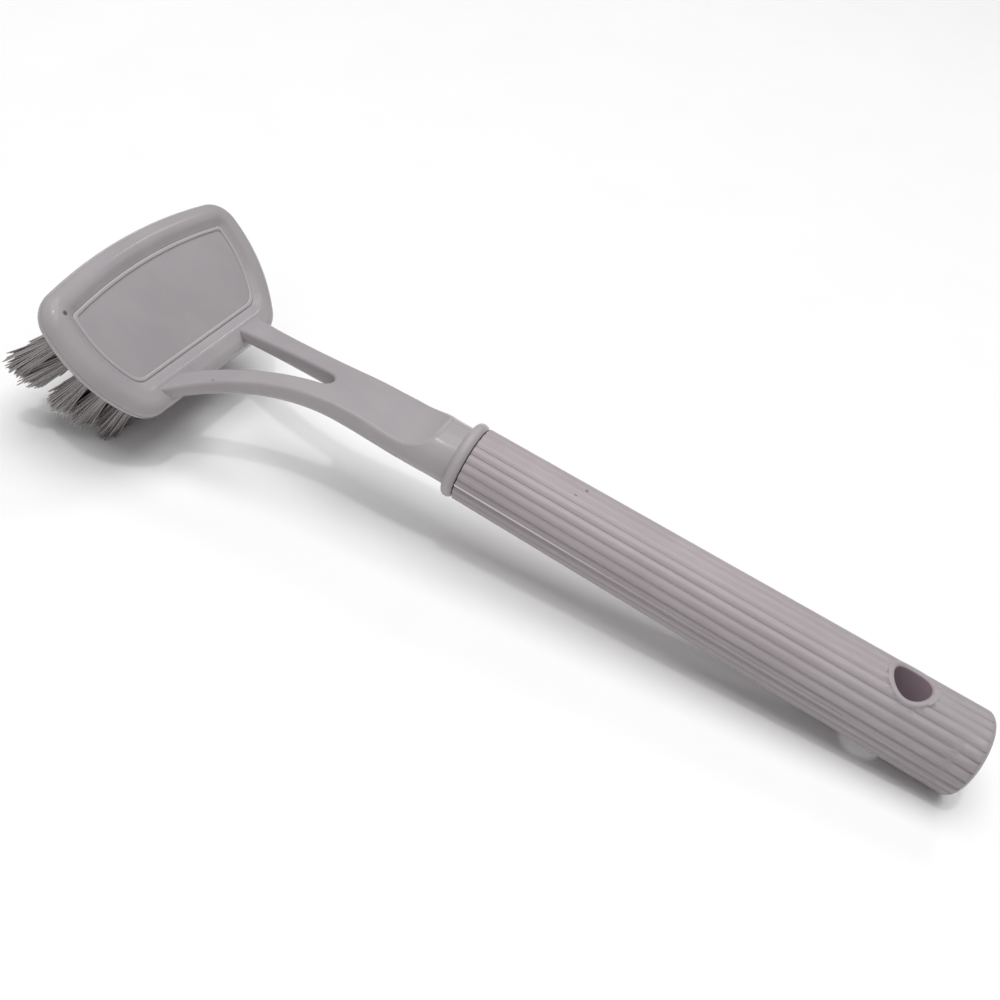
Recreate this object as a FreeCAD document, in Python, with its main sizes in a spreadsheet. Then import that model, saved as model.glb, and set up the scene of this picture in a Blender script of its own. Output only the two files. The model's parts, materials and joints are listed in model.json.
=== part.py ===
"""Dish brush: fan-shaped head on a two-armed fork, ribbed handle sleeve, staple-set bristle tufts.

The pieces are drawn in the handle's own frame, with X along the handle and 0 at the collar's face.
They are then laid down together, so that the brush rests on its rear tufts and its handle's end.
"""
import FreeCAD, Part
import math
import os
import Sketcher
from FreeCAD import Placement, Rotation, Vector

# Driving dimensions in millimetres, angles in degrees, and counts
SIZES = {
    # Handle sleeve
    "sleeve_length": 145.0,
    "sleeve_gap": 0.4,
    "sleeve_mouth_radius": 10.3,
    "sleeve_end_radius": 12.0,
    "sleeve_end_rounding": 3.2,
    "rib_count": 24,
    "rib_mouth_height": 0.45,
    "rib_end_height": 0.72,
    "rib_radius": 1.5,
    "bore_mouth_radius": 7.9,
    "bore_bottom_radius": 7.5,
    "bore_end_room": 8.0,
    "parting_width": 0.4,
    "parting_height": 0.25,
    "hanging_hole_radius": 5.1,
    "hanging_hole_from_end": 23.0,
    "hole_edge_rounding": 0.8,
    "hole_ring_width": 1.8,
    "hole_ring_proud": 0.06,
    # Collar and neck
    "collar_width": 3.3,
    "collar_radius": 10.75,
    "collar_face_radius": 9.9,
    "collar_root_radius": 9.0,
    "neck_root_half_height": 8.0,
    "neck_root_flare": 1.0,
    "neck_waist_at": 10.0,
    "neck_waist_half_height": 7.4,
    "neck_waist_flare": 2.1,
    "neck_shoulder_at": 18.0,
    "neck_shoulder_half_height": 7.1,
    "neck_shoulder_flare": 2.8,
    "keel_middle_at": 29.0,
    "keel_middle_half_height": 5.5,
    "keel_middle_flare": 3.8,
    "keel_tip_at": 42.0,
    "keel_tip_half_height": 3.4,
    "keel_tip_flare": 4.8,
    "scoop_radius": 13.4,
    "scoop_floor_start": 19.7,
    "neck_edge_rounding": 1.2,
    # Tang inside the sleeve
    "tang_clearance": 0.1,
    "plug_length": 14.0,
    "tang_to_hole_ring": 19.1,
    "tang_blade_width": 2.6,
    # Fork
    "fork_root": 17.0,
    "fork_root_half_width": 9.4,
    "fork_bend_start": 38.0,
    "fork_bend_half_width": 8.9,
    "fork_tip": 82.0,
    "fork_tip_outer": 25.4,
    "fork_tip_inner": 14.8,
    "slot_end": 42.7,
    "slot_start": 45.0,
    "slot_half_width": 2.55,
    "slot_side_radius": 108.0,
    "fork_top_level": 2.2,
    "fork_top_flat_end": 26.0,
    "fork_tip_drop": 15.9,
    "fork_root_thickness": 6.5,
    "fork_under_flat_end": 30.0,
    "fork_tip_thickness": 4.7,
    "fork_top_rounding": 0.9,
    "fork_under_rounding": 2.3,
    # Head
    "head_reach": 91.5,
    "head_level": -3.57,
    "head_tilt": 36.7,
    "head_depth": 7.3,
    "head_front": 22.05,
    "head_front_radius": 181.0,
    "head_rear": 20.6,
    "head_side_radius": 40.5,
    "head_widest_from_middle": 7.3,
    "head_half_width": 39.35,
    "head_front_corner": 8.6,
    "head_rear_corner": 9.2,
    "head_crown": 0.3,
    "head_top_rounding": 3.6,
    "head_under_rounding": 3.4,
    "rim_front_width": 7.2,
    "rim_side_width": 7.6,
    "rim_rear_width": 9.2,
    "rim_slope_run": 2.4,
    "rim_crest_rounding": 3.0,
    "rim_valley_depth": 1.2,
    "head_parting_depth": 3.6,
    "head_parting_width": 0.3,
    "head_parting_proud": 0.12,
    "panel_step": 0.06,
    "panel_front_corner": 1.5,
    "panel_rear_corner": 4.6,
    "bead_gap": 0.05,
    "bead_width": 1.0,
    "bead_height": 0.42,
    "bead_rounding": 0.36,
    # Bristle tufts and their anchors
    "socket_radius": 1.65,
    "socket_depth": 4.6,
    "tuft_clearance": 0.05,
    "tuft_length": 21.5,
    "tuft_tip_radius": 3.0,
    "tuft_front_row": 11.3,
    "tuft_rear_row": 12.8,
    "tuft_front_bow": 2.8,
    "tuft_front_lean": 2.5,
    "tuft_rear_lean": 13.0,
    "tuft_side_lean": 4.0,
    "anchor_length": 3.9,
    "anchor_height": 1.6,
    "anchor_thickness": 0.4,
    "anchor_seat": 0.6,
    # Working allowances
    "overrun": 4.0,
    "measure_step": 0.02,
}

# Tufts in each row from the front, and each row's half width as a share of the head's
TUFTS_IN_ROW = (11, 10, 11, 10, 8)
ROW_WIDTH_SHARES = (0.77, 0.70, 0.77, 0.70, 0.60)

FULL_TURN = 360
CHECK_POINTS = 4
SETTLING_PASSES = 6

# Turn that stands a flat drawing across the handle
ACROSS_HANDLE = Rotation(Vector(1, 1, 1), FULL_TURN / 3)

doc = FreeCAD.newDocument("DishBrush")
sheet = doc.addObject("Spreadsheet::Sheet", "Sizes")
for row, (alias, value) in enumerate(SIZES.items(), start=1):
    sheet.set(f"A{row}", alias)
    sheet.set(f"B{row}", str(value))
    sheet.setAlias(f"B{row}", alias)
doc.recompute()


class Size:
    """A number together with the sheet expression that gives it."""

    def __init__(self, value, text):
        self.value = value
        self.text = text

    def joined(self, sign, other, value):
        return Size(value, f"({self.text} {sign} {as_size(other).text})")

    def __add__(self, other):
        return self.joined("+", other, self.value + as_size(other).value)

    def __sub__(self, other):
        return self.joined("-", other, self.value - as_size(other).value)

    def __mul__(self, other):
        return self.joined("*", other, self.value * as_size(other).value)

    def __truediv__(self, other):
        return self.joined("/", other, self.value / as_size(other).value)

    def __neg__(self):
        return Size(-self.value, f"(-1 * {self.text})")


def as_size(number):
    """Let a plain number mix with sheet sizes."""
    return number if isinstance(number, Size) else Size(number, repr(number))


def cell(alias):
    """One driving dimension of the sheet."""
    return Size(float(sheet.get(alias)), f"Sizes.{alias}")


def tie(item, **sizes):
    """Bind properties of a document object to sheet sizes."""
    for name, size in sizes.items():
        item.setExpression(name, size.text)


def bow_radius(run, rise):
    """Radius of an arc that leaves level and climbs by rise over run."""
    return (run * run + rise * rise) / (rise * 2)


ZERO = as_size(0)
OVERRUN = cell("overrun")


# Sketches

def origin_feature(body, role):
    """A plane or axis of the body's own origin."""
    return next(f for f in body.Origin.OriginFeatures if f.Role == role)


def new_body(name):
    return doc.addObject("PartDesign::Body", name)


def new_sketch(body, name, plane, raised=None):
    """A sketch on one of the body's origin planes, or raised from it along its normal."""
    sketch = body.newObject("Sketcher::SketchObject", name)
    sketch.AttachmentSupport = [(origin_feature(body, plane), "")]
    sketch.MapMode = "FlatFace"
    if raised is not None:
        sketch.setExpression("AttachmentOffset.Base.z", raised.text)
    return sketch


def dimension(sketch, kind, size, *places):
    """Add one driving constraint and bind it to the sheet."""
    index = sketch.addConstraint(Sketcher.Constraint(kind, *places, size.value))
    sketch.setExpression(f"Constraints[{index}]", size.text)


def pin_point(sketch, curve, end, across, up):
    """Hold a point of a curve at its place from the sketch's origin."""
    dimension(sketch, "DistanceX", across, -1, 1, curve, end)
    dimension(sketch, "DistanceY", up, -1, 1, curve, end)


def left_arc(start, end, radius):
    """The shorter arc from start to end that turns left."""
    chord = end - start
    half = chord.Length / 2
    left = Vector(-chord.y, chord.x, 0).normalize()
    centre = (start + end) / 2 + left * math.sqrt(radius * radius - half * half)
    first = math.atan2(start.y - centre.y, start.x - centre.x)
    last = math.atan2(end.y - centre.y, end.x - centre.x)
    return Part.ArcOfCircle(Part.Circle(centre, Vector(0, 0, 1), radius), first, last)


def outline(sketch, corners):
    """Close a loop through corners, each (across, up) or (across, up, radius of the arc that follows).

    A positive radius turns left on the way to the next corner, a negative one right.
    """
    places = [Vector(corner[0].value, corner[1].value, 0) for corner in corners]
    curves = []
    for index, corner in enumerate(corners):
        start = places[index]
        end = places[(index + 1) % len(places)]
        if len(corner) == 2:
            curve = (sketch.addGeometry(Part.LineSegment(start, end), False), 1, 2)
        elif corner[2].value > 0:
            curve = (sketch.addGeometry(left_arc(start, end, corner[2].value), False), 1, 2)
        else:
            curve = (sketch.addGeometry(left_arc(end, start, -corner[2].value), False), 2, 1)
        curves.append(curve)
    for index, corner in enumerate(corners):
        curve, first, last = curves[index]
        following, next_first, _ = curves[(index + 1) % len(curves)]
        sketch.addConstraint(Sketcher.Constraint("Coincident", curve, last, following, next_first))
        pin_point(sketch, curve, first, corner[0], corner[1])
        if len(corner) == 3:
            turn = corner[2]
            dimension(sketch, "Radius", turn if turn.value > 0 else -turn, curve)


# Features

def new_feature(body, kind, name, profile):
    feature = body.newObject(f"PartDesign::{kind}", name)
    feature.Profile = profile
    return feature


def symmetric(body, kind, name, profile, length):
    """A Pad or Pocket that runs equally to both sides of its sketch."""
    feature = new_feature(body, kind, name, profile)
    feature.SideType = "Symmetric"
    tie(feature, Length=length)
    return feature


def turned(body, kind, name, profile):
    """A Revolution or Groove round the handle's axis."""
    feature = new_feature(body, kind, name, profile)
    feature.ReferenceAxis = (profile, ["H_Axis"])
    feature.Angle = FULL_TURN
    return feature


def rounded(body, name, base, radius, wanted):
    """Fillet the edges of base for which wanted(edge) is true."""
    doc.recompute()
    names = [f"Edge{n}" for n, edge in enumerate(base.Shape.Edges, start=1) if wanted(edge)]
    feature = body.newObject("PartDesign::Fillet", name)
    feature.Base = (base, names)
    tie(feature, Radius=radius)
    return feature


def lies_at(edge, height):
    """Whether the whole edge lies at one height."""
    level = cell("measure_step").value
    points = edge.discretize(CHECK_POINTS)
    return all(abs(point.z - height) < level for point in points)


def grouped(name, items):
    group = doc.addObject("Part::Compound", name)
    group.Links = items
    return group


def cut(name, base, tool):
    result = doc.addObject("Part::Cut", name)
    result.Base = base
    result.Tool = tool
    return result


# Handle sleeve

def crest_radius(along):
    """Radius over the ribs at a distance from the collar's face."""
    growth = cell("sleeve_end_radius") - cell("sleeve_mouth_radius")
    return cell("sleeve_mouth_radius") + growth * along / cell("sleeve_length")


def core_radius(along):
    """Radius in the valleys between the ribs, which stand higher towards the end."""
    growth = cell("rib_end_height") - cell("rib_mouth_height")
    return crest_radius(along) - cell("rib_mouth_height") - growth * along / cell("sleeve_length")


def rib_radius(along):
    """Radius of one rib's round back."""
    return crest_radius(along) * (cell("rib_radius") / cell("sleeve_mouth_radius"))


def hole_place():
    """Distance of the hanging hole's middle from the collar's face."""
    return cell("sleeve_length") - cell("hanging_hole_from_end")


def ring_radius():
    """Outer radius of the smooth ring round the hanging hole."""
    return cell("hanging_hole_radius") + cell("hole_ring_width")


def tang_length():
    """Length of the tang, which stops short of the hanging hole's ring."""
    return hole_place() - ring_radius() - cell("tang_to_hole_ring")


def bore_depth():
    """Depth of the sleeve's bore, with room past the tang's end."""
    return tang_length() + cell("bore_end_room")


def rib_ridge(body):
    """One rib, a slim cone laid along the core with its back on the crest line."""
    start = cell("sleeve_gap") - OVERRUN / 2
    end = cell("sleeve_length") + OVERRUN / 2
    low = crest_radius(start) - rib_radius(start)
    high = crest_radius(end) - rib_radius(end)
    run = end - start
    rise = high - low
    rib = body.newObject("PartDesign::AdditiveCone", "Rib")
    along = Rotation(Vector(0, 0, 1), Vector(run.value, 0, rise.value))
    rib.Placement = Placement(Vector(start.value, 0, low.value), along)
    rib.setExpression("Height", f"sqrt({(run * run + rise * rise).text})")
    tie(rib, Radius1=rib_radius(start), Radius2=rib_radius(end))
    return rib


def handle_sleeve():
    body = new_body("handle_sleeve")
    mouth = cell("sleeve_gap")
    end = cell("sleeve_length")
    hole_at = hole_place()

    # Hollow core, closed at the far end
    core = new_sketch(body, "SleeveCore", "XZ_Plane")
    outline(core, [
        (mouth, cell("bore_mouth_radius")),
        (bore_depth(), cell("bore_bottom_radius")),
        (bore_depth(), ZERO),
        (end, ZERO),
        (end, core_radius(end)),
        (mouth, core_radius(mouth)),
    ])
    turned(body, "Revolution", "Core", core)

    # Ribs, cut off square at the mouth
    rib = rib_ridge(body)
    ribs = body.newObject("PartDesign::PolarPattern", "Ribs")
    ribs.Originals = [rib]
    ribs.Axis = (origin_feature(body, "X_Axis"), [""])
    ribs.Angle = FULL_TURN
    tie(ribs, Occurrences=cell("rib_count"))
    body.Tip = ribs
    square = new_sketch(body, "MouthTrim", "XZ_Plane")
    outline(square, [
        (mouth - OVERRUN, cell("bore_mouth_radius") / 2),
        (mouth, cell("bore_mouth_radius") / 2),
        (mouth, crest_radius(mouth) + OVERRUN),
        (mouth - OVERRUN, crest_radius(mouth) + OVERRUN),
    ])
    turned(body, "Groove", "SquareMouth", square)

    # Mould parting line on both sides
    parting = new_sketch(body, "PartingLines", "XY_Plane")
    for side in (1, -1):
        proud = cell("parting_height")
        corners = [
            (mouth, core_radius(mouth)),
            (end, core_radius(end)),
            (end, crest_radius(end) + proud),
            (mouth, crest_radius(mouth) + proud),
        ]
        outline(parting, [(along, out * side) for along, out in corners])
    symmetric(body, "Pad", "Parting", parting, cell("parting_width"))

    # Smooth ring round the hanging hole, trimmed flush with the ribs
    ring = new_sketch(body, "HoleRing", "XY_Plane")
    circle(ring, hole_at, ring_radius())
    symmetric(body, "Pad", "Ring", ring, (cell("sleeve_end_radius") + OVERRUN) * 2)
    trim = new_sketch(body, "RingTrim", "XZ_Plane")
    near = hole_at - ring_radius() - OVERRUN
    far = end + OVERRUN
    proud = cell("hole_ring_proud")
    high = cell("sleeve_end_radius") + OVERRUN * 2
    outline(trim, [
        (near, crest_radius(near) + proud),
        (far, crest_radius(far) + proud),
        (far, high),
        (near, high),
    ])
    turned(body, "Groove", "RingFlush", trim)

    # Hanging hole and rounded end
    hole = new_sketch(body, "HangingHole", "XY_Plane")
    circle(hole, hole_at, cell("hanging_hole_radius"))
    drilled = symmetric(body, "Pocket", "Hole", hole, (cell("sleeve_end_radius") + OVERRUN) * 2)
    rounded(body, "HoleEdges", drilled, cell("hole_edge_rounding"), on_hole_mouth)
    nose = new_sketch(body, "EndRounding", "XZ_Plane")
    rounding = cell("sleeve_end_rounding")
    brow = cell("sleeve_end_radius") + proud
    outline(nose, [
        (end - rounding, brow, -rounding),
        (end, brow - rounding),
        (end, ZERO),
        (end + OVERRUN, ZERO),
        (end + OVERRUN, brow + OVERRUN),
        (end - rounding, brow + OVERRUN),
    ])
    turned(body, "Groove", "RoundEnd", nose)
    return body


def on_hole_mouth(edge):
    """Whether an edge runs round one of the hanging hole's two mouths."""
    slack = cell("measure_step").value
    axis = Vector(hole_place().value, 0, 0)
    points = edge.discretize(CHECK_POINTS)
    away = [math.hypot(point.x - axis.x, point.y) for point in points]
    on_wall = all(abs(distance - cell("hanging_hole_radius").value) < slack for distance in away)
    return on_wall and min(abs(point.z) for point in points) > cell("hanging_hole_radius").value


def circle(sketch, along, radius):
    """A circle centred on the sketch's horizontal axis."""
    centre = Vector(along.value, 0, 0)
    curve = sketch.addGeometry(Part.Circle(centre, Vector(0, 0, 1), radius.value), False)
    sketch.addConstraint(Sketcher.Constraint("PointOnObject", curve, 3, -1))
    dimension(sketch, "DistanceX", along, -1, 1, curve, 3)
    dimension(sketch, "Radius", radius, curve)


# Neck, collar and tang

def fork_top_space(body):
    """Sketch of all the space above the fork's top face, with its thumb scoop towards the collar."""
    level = cell("fork_top_level")
    tip = cell("fork_tip")
    flat_end = cell("fork_top_flat_end")
    drop = cell("fork_tip_drop")
    floor_start = cell("scoop_floor_start")
    scoop = cell("scoop_radius")
    high = drop + cell("fork_tip_thickness") + scoop + OVERRUN
    sketch = new_sketch(body, "ForkTop", "XZ_Plane")
    outline(sketch, [
        (-(tip + OVERRUN), level - drop),
        (-tip, level - drop, -bow_radius(tip - flat_end, drop)),
        (-flat_end, level),
        (-floor_start, level, scoop),
        (scoop - floor_start, level + scoop),
        (scoop - floor_start, high),
        (-(tip + OVERRUN), high),
    ])
    return sketch


def fork_top_width():
    """Width that clears the whole fork."""
    return (cell("fork_tip_outer") + OVERRUN) * 2


def neck_section(name, along):
    """One oval section across the neck, wider than it is high, at a distance from the collar's face."""
    section = doc.addObject("Part::Ellipse", f"{name}_section")
    section.Placement = Placement(Vector(-along.value, 0, 0), ACROSS_HANDLE)
    section.setExpression("Placement.Base.x", (-along).text)
    half_height = cell(f"{name}_half_height")
    tie(section, MajorRadius=half_height + cell(f"{name}_flare"), MinorRadius=half_height)
    return section


def neck():
    """The oval neck, from inside the collar to its keel's tip, cut off level with the fork."""
    form = doc.addObject("Part::Loft", "neck_form")
    root = neck_section("neck_root", cell("collar_width") / 2)
    names = ("neck_waist", "neck_shoulder", "keel_middle", "keel_tip")
    form.Sections = [root] + [neck_section(name, cell(f"{name}_at")) for name in names]
    form.Solid = True
    space = new_body("neck_top_space")
    symmetric(space, "Pad", "TopSpace", fork_top_space(space), fork_top_width())
    trimmed = cut("neck_trimmed", form, space)
    doc.recompute()
    rounding = cell("neck_edge_rounding").value
    soft = doc.addObject("Part::Fillet", "neck")
    soft.Base = trimmed
    edges = enumerate(trimmed.Shape.Edges, start=1)
    soft.Edges = [(number, rounding, rounding) for number, edge in edges if on_neck_rim(edge)]
    return soft


def on_neck_rim(edge):
    """Whether an edge runs along the neck's flat top or round its scoop."""
    slack = cell("measure_step").value
    scoop = cell("scoop_radius").value
    middle = Vector(-cell("scoop_floor_start").value, 0, cell("fork_top_level").value + scoop)
    points = edge.discretize(CHECK_POINTS)
    spread = max(point.x for point in points) - min(point.x for point in points)
    depths = [math.hypot(max(point.x - middle.x, 0), point.z - middle.z) for point in points]
    beyond = [point.x < -cell("fork_top_flat_end").value for point in points]
    return spread > slack and all(abs(depth - scoop) < slack or far for depth, far in zip(depths, beyond))


def collar_and_tang():
    body = new_body("collar_and_tang")
    plug_radius = cell("bore_mouth_radius") - cell("tang_clearance")
    half_collar = cell("collar_width") / 2
    face_turn = bow_radius(half_collar, cell("collar_radius") - cell("collar_face_radius"))
    root_turn = bow_radius(half_collar, cell("collar_radius") - cell("collar_root_radius"))

    profile = new_sketch(body, "CollarProfile", "XZ_Plane")
    outline(profile, [
        (-cell("collar_width"), ZERO),
        (cell("plug_length"), ZERO),
        (cell("plug_length"), plug_radius),
        (ZERO, plug_radius),
        (ZERO, cell("collar_face_radius"), face_turn),
        (-half_collar, cell("collar_radius"), root_turn),
        (-cell("collar_width"), cell("collar_root_radius")),
    ])
    turned(body, "Revolution", "Turning", profile)

    # Crossed blades that fit the sleeve's bore
    for name, plane in (("UprightBlade", "XZ_Plane"), ("FlatBlade", "XY_Plane")):
        blade = new_sketch(body, name, plane)
        taper = (cell("bore_mouth_radius") - cell("bore_bottom_radius")) / bore_depth()
        root = cell("bore_mouth_radius") - taper * cell("plug_length") - cell("tang_clearance")
        end = cell("bore_mouth_radius") - taper * tang_length() - cell("tang_clearance")
        outline(blade, [
            (ZERO, -root),
            (cell("plug_length"), -root),
            (tang_length(), -end),
            (tang_length(), end),
            (cell("plug_length"), root),
            (ZERO, root),
        ])
        symmetric(body, "Pad", f"{name}Pad", blade, cell("tang_blade_width"))
    return body


# Fork

def fork_under_level(along):
    """Height of the fork's underside at a distance from the collar's face."""
    flat = cell("fork_top_level") - cell("fork_root_thickness")
    beyond = max(along - cell("fork_under_flat_end").value, 0)
    turn = fork_under_turn().value
    return flat.value - turn + math.sqrt(turn * turn - beyond * beyond)


def fork_top_height(along):
    """Height of the fork's top face beyond its scoop at a distance from the collar's face."""
    beyond = max(along - cell("fork_top_flat_end").value, 0)
    turn = bow_radius(cell("fork_tip") - cell("fork_top_flat_end"), cell("fork_tip_drop")).value
    return cell("fork_top_level").value - turn + math.sqrt(turn * turn - beyond * beyond)


def fork_under_turn():
    """Radius of the underside's bend."""
    under_drop = cell("fork_tip_drop") + cell("fork_tip_thickness") - cell("fork_root_thickness")
    return bow_radius(cell("fork_tip") - cell("fork_under_flat_end"), under_drop)


def runs_along(edge, height_at):
    """Whether an edge follows a face of the fork lengthways, clear of the fork's two ends."""
    slack = cell("measure_step").value
    points = edge.discretize(CHECK_POINTS)
    spread = max(point.x for point in points) - min(point.x for point in points)
    on_face = all(abs(point.z - height_at(-point.x)) < slack for point in points)
    return on_face and spread > slack


def fork():
    body = new_body("fork")
    root = cell("fork_root")
    tip = cell("fork_tip")
    bend = cell("fork_bend_start")
    root_half = cell("fork_root_half_width")
    bend_half = cell("fork_bend_half_width")
    outer = cell("fork_tip_outer")
    inner = cell("fork_tip_inner")
    slot_half = cell("slot_half_width")
    slot_start = cell("slot_start")
    outer_turn = bow_radius(tip - bend, outer - bend_half)
    slot_turn = bow_radius(slot_half, slot_start - cell("slot_end"))
    side_turn = cell("slot_side_radius")
    reach = cell("fork_tip_drop") + cell("fork_tip_thickness")

    plan = new_sketch(body, "ForkPlan", "XY_Plane")
    outline(plan, [
        (-root, root_half),
        (-bend, bend_half, -outer_turn),
        (-tip, outer),
        (-tip, inner, side_turn),
        (-slot_start, slot_half, -slot_turn),
        (-slot_start, -slot_half, side_turn),
        (-tip, -inner),
        (-tip, -outer, -outer_turn),
        (-bend, -bend_half),
        (-root, -root_half),
    ])
    symmetric(body, "Pad", "ForkPlate", plan, reach * 2)
    symmetric(body, "Pocket", "TopFace", fork_top_space(body), fork_top_width())

    under = new_sketch(body, "ForkUnder", "XZ_Plane")
    flat = cell("fork_top_level") - cell("fork_root_thickness")
    low = cell("fork_top_level") - reach
    outline(under, [
        (-(tip + OVERRUN), low),
        (-(tip + OVERRUN), -(reach + OVERRUN)),
        (OVERRUN - root, -(reach + OVERRUN)),
        (OVERRUN - root, flat),
        (-cell("fork_under_flat_end"), flat, fork_under_turn()),
        (-tip, low),
    ])
    plate = symmetric(body, "Pocket", "UnderFace", under, (outer + OVERRUN) * 2)
    soft = rounded(body, "UnderEdges", plate, cell("fork_under_rounding"),
                   lambda edge: runs_along(edge, fork_under_level))
    rounded(body, "TopEdges", soft, cell("fork_top_rounding"),
            lambda edge: runs_along(edge, fork_top_height))
    return body


# Head

def head_loop(sketch, front_inset, side_inset, rear_inset, front_corner, rear_corner):
    """The head's fan outline, drawn in by an inset on each side: rear line, bowed sides, bowed front."""
    front_centre = cell("head_front_radius") - cell("head_front")
    front_radius = cell("head_front_radius") - front_inset
    side_across = -cell("head_widest_from_middle")
    side_up = cell("head_half_width") - cell("head_side_radius")
    side_radius = cell("head_side_radius") - side_inset
    rear = cell("head_rear") - rear_inset

    # Centres of the two corners on the +Y side
    near = Vector(side_across.value, side_up.value, 0)
    far = Vector(front_centre.value, 0, 0)
    from_near = side_radius.value - front_corner.value
    from_far = front_radius.value - front_corner.value
    span = (far - near).Length
    step = (span * span + from_near * from_near - from_far * from_far) / (span * 2)
    aside = math.sqrt(from_near * from_near - step * step)
    heading = (far - near).normalize()
    front_middle = near + heading * step + Vector(-heading.y, heading.x, 0) * aside
    rear_across = rear.value - rear_corner.value
    rear_from = side_radius.value - rear_corner.value
    offset = rear_across - near.x
    rear_middle = Vector(rear_across, near.y + math.sqrt(rear_from * rear_from - offset * offset), 0)

    def touch(middle, corner_middle, radius):
        return middle + (corner_middle - middle).normalize() * radius

    def arc(middle, radius, start, end):
        first = math.atan2(start.y - middle.y, start.x - middle.x)
        last = math.atan2(end.y - middle.y, end.x - middle.x)
        return Part.ArcOfCircle(Part.Circle(middle, Vector(0, 0, 1), radius), first, last)

    def over(point):
        return Vector(point.x, -point.y, 0)

    on_rear = Vector(rear.value, rear_middle.y, 0)
    on_side_rear = touch(near, rear_middle, side_radius.value)
    on_side_front = touch(near, front_middle, side_radius.value)
    on_front = touch(far, front_middle, front_radius.value)
    curves = [
        Part.LineSegment(over(on_rear), on_rear),
        arc(rear_middle, rear_corner.value, on_rear, on_side_rear),
        arc(near, side_radius.value, on_side_rear, on_side_front),
        arc(front_middle, front_corner.value, on_side_front, on_front),
        arc(far, front_radius.value, on_front, over(on_front)),
        arc(over(front_middle), front_corner.value, over(on_front), over(on_side_front)),
        arc(over(near), side_radius.value, over(on_side_front), over(on_side_rear)),
        arc(over(rear_middle), rear_corner.value, over(on_side_rear), over(on_rear)),
    ]
    first = sketch.GeometryCount
    sketch.addGeometry(curves, False)
    names = ("rear", "rear_left", "left", "front_left", "front", "front_right", "right", "rear_right")
    place = {name: first + index for index, name in enumerate(names)}
    for index in range(len(names)):
        following = first + (index + 1) % len(names)
        sketch.addConstraint(Sketcher.Constraint("Tangent", first + index, 2, following, 1))
    radii = {"rear_left": rear_corner, "rear_right": rear_corner, "left": side_radius, "right": side_radius,
             "front_left": front_corner, "front_right": front_corner, "front": front_radius}
    for name, radius in radii.items():
        dimension(sketch, "Radius", radius, place[name])
    pin_point(sketch, place["left"], 3, side_across, side_up)
    pin_point(sketch, place["right"], 3, side_across, -side_up)
    pin_point(sketch, place["front"], 3, front_centre, ZERO)
    sketch.addConstraint(Sketcher.Constraint("Vertical", place["rear"]))
    dimension(sketch, "DistanceX", rear, -1, 1, place["rear"], 1)


def rim_loop(sketch, further, front_corner, rear_corner):
    """The line where rim and panel meet, drawn in further by the same amount all round."""
    widths = [cell(f"rim_{side}_width") + further for side in ("front", "side", "rear")]
    head_loop(sketch, *widths, front_corner, rear_corner)


def head():
    body = new_body("head")
    crown = cell("head_crown")
    valley = -cell("rim_valley_depth")
    front_corner = cell("panel_front_corner")
    rear_corner = cell("panel_rear_corner")

    plan = new_sketch(body, "HeadPlan", "XY_Plane", -cell("head_depth"))
    head_loop(plan, ZERO, ZERO, ZERO, cell("head_front_corner"), cell("head_rear_corner"))
    block = new_feature(body, "Pad", "Block", plan)
    tie(block, Length=cell("head_depth") + crown)

    # Shallow pan inside the rim, with a sloping side
    run = cell("rim_slope_run")
    mouth = new_sketch(body, "PanMouth", "XY_Plane", crown)
    rim_loop(mouth, -run, front_corner + run, rear_corner + run)
    floor = new_sketch(body, "PanFloor", "XY_Plane", valley)
    rim_loop(floor, ZERO, front_corner, rear_corner)
    pan = new_feature(body, "SubtractiveLoft", "Pan", mouth)
    pan.Sections = [floor]
    pan.Ruled = True

    # Soft outer edges and a soft crest
    under = rounded(body, "HeadUnderEdge", pan, cell("head_under_rounding"),
                    lambda edge: lies_at(edge, -cell("head_depth").value))
    top = rounded(body, "HeadTopEdge", under, cell("head_top_rounding"),
                  lambda edge: lies_at(edge, crown.value) and on_outer_edge(edge))
    rounded(body, "RimCrest", top, cell("rim_crest_rounding"),
            lambda edge: lies_at(edge, crown.value) and on_pan_mouth(edge))

    # Mould parting line round the side wall
    fin = cell("head_parting_proud")
    fin_width = cell("head_parting_width")
    wall = new_sketch(body, "HeadPartingPlan", "XY_Plane", -cell("head_parting_depth") - fin_width / 2)
    head_loop(wall, -fin, -fin, -fin, cell("head_front_corner") + fin, cell("head_rear_corner") + fin)
    seam = new_feature(body, "Pad", "HeadParting", wall)
    tie(seam, Length=fin_width)

    # Raised bead round the panel, and the panel a step lower inside it
    gap = cell("bead_gap")
    inside = gap + cell("bead_width")
    bead = new_sketch(body, "BeadPlan", "XY_Plane", valley)
    rim_loop(bead, gap, front_corner, rear_corner)
    rim_loop(bead, inside, front_corner, rear_corner)
    ridge = new_feature(body, "Pad", "Bead", bead)
    tie(ridge, Length=cell("bead_height"))
    soft = rounded(body, "BeadEdges", ridge, cell("bead_rounding"),
                   lambda edge: lies_at(edge, valley.value + cell("bead_height").value))
    panel = new_sketch(body, "PanelPlan", "XY_Plane", valley)
    rim_loop(panel, inside, front_corner, rear_corner)
    recess = new_feature(body, "Pocket", "Panel", panel)
    tie(recess, Length=cell("panel_step"))
    body.Placement = head_place()
    return body


def on_outer_edge(edge):
    """Whether an edge of the head's top lies on its outline, outside the pan."""
    return not on_pan_mouth(edge)


def on_pan_mouth(edge):
    """Whether an edge of the head's top lies on the pan's mouth."""
    front = cell("head_front") - cell("rim_front_width") / 2
    rear = cell("head_rear") - cell("rim_rear_width") / 2
    side = cell("head_half_width") - cell("rim_side_width") / 2
    middle = edge.discretize(CHECK_POINTS)[1]
    return -front.value < middle.x < rear.value and abs(middle.y) < side.value


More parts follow.
